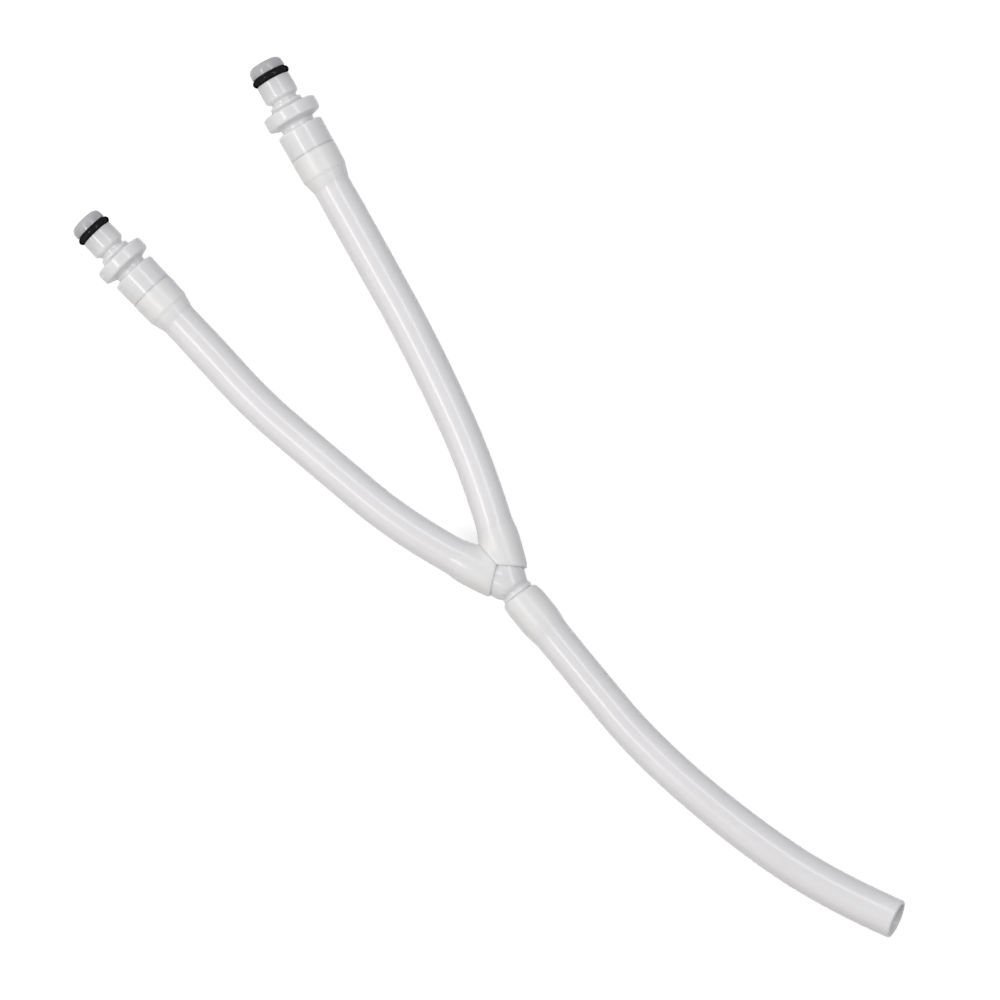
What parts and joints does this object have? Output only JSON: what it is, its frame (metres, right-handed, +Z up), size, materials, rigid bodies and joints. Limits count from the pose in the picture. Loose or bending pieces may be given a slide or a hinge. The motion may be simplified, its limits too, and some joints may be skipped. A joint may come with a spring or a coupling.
{
  "type": "tubing y connector",
  "caption": "Barbed Y fitting with milky tubing on each branch, a coupling insert with an O-ring on each arm, and an open cut end on the stem.",
  "frame": {"origin": "middle of the whole assembly's footprint, on the surface that it lies on", "axes": "+Y from the stem towards the arms, +Z up, square to the surface that it lies on"},
  "size_m": [0.0934, 0.3586, 0.0191],
  "materials": {
    "moulded_plastic": "milky, semi-gloss, slightly translucent moulding",
    "tubing": "smooth extruded, milky translucent, glossy",
    "o_ring_rubber": "smooth black, glossy"
  },
  "bodies": {
    "root": {"y_fitting": "moulded_plastic", "stem_tube": "tubing", "right_arm_tube": "tubing", "left_arm_tube": "tubing", "right_insert_body": "moulded_plastic", "left_insert_body": "moulded_plastic", "right_o_ring": "o_ring_rubber", "left_o_ring": "o_ring_rubber"}
  },
  "joints": []
}
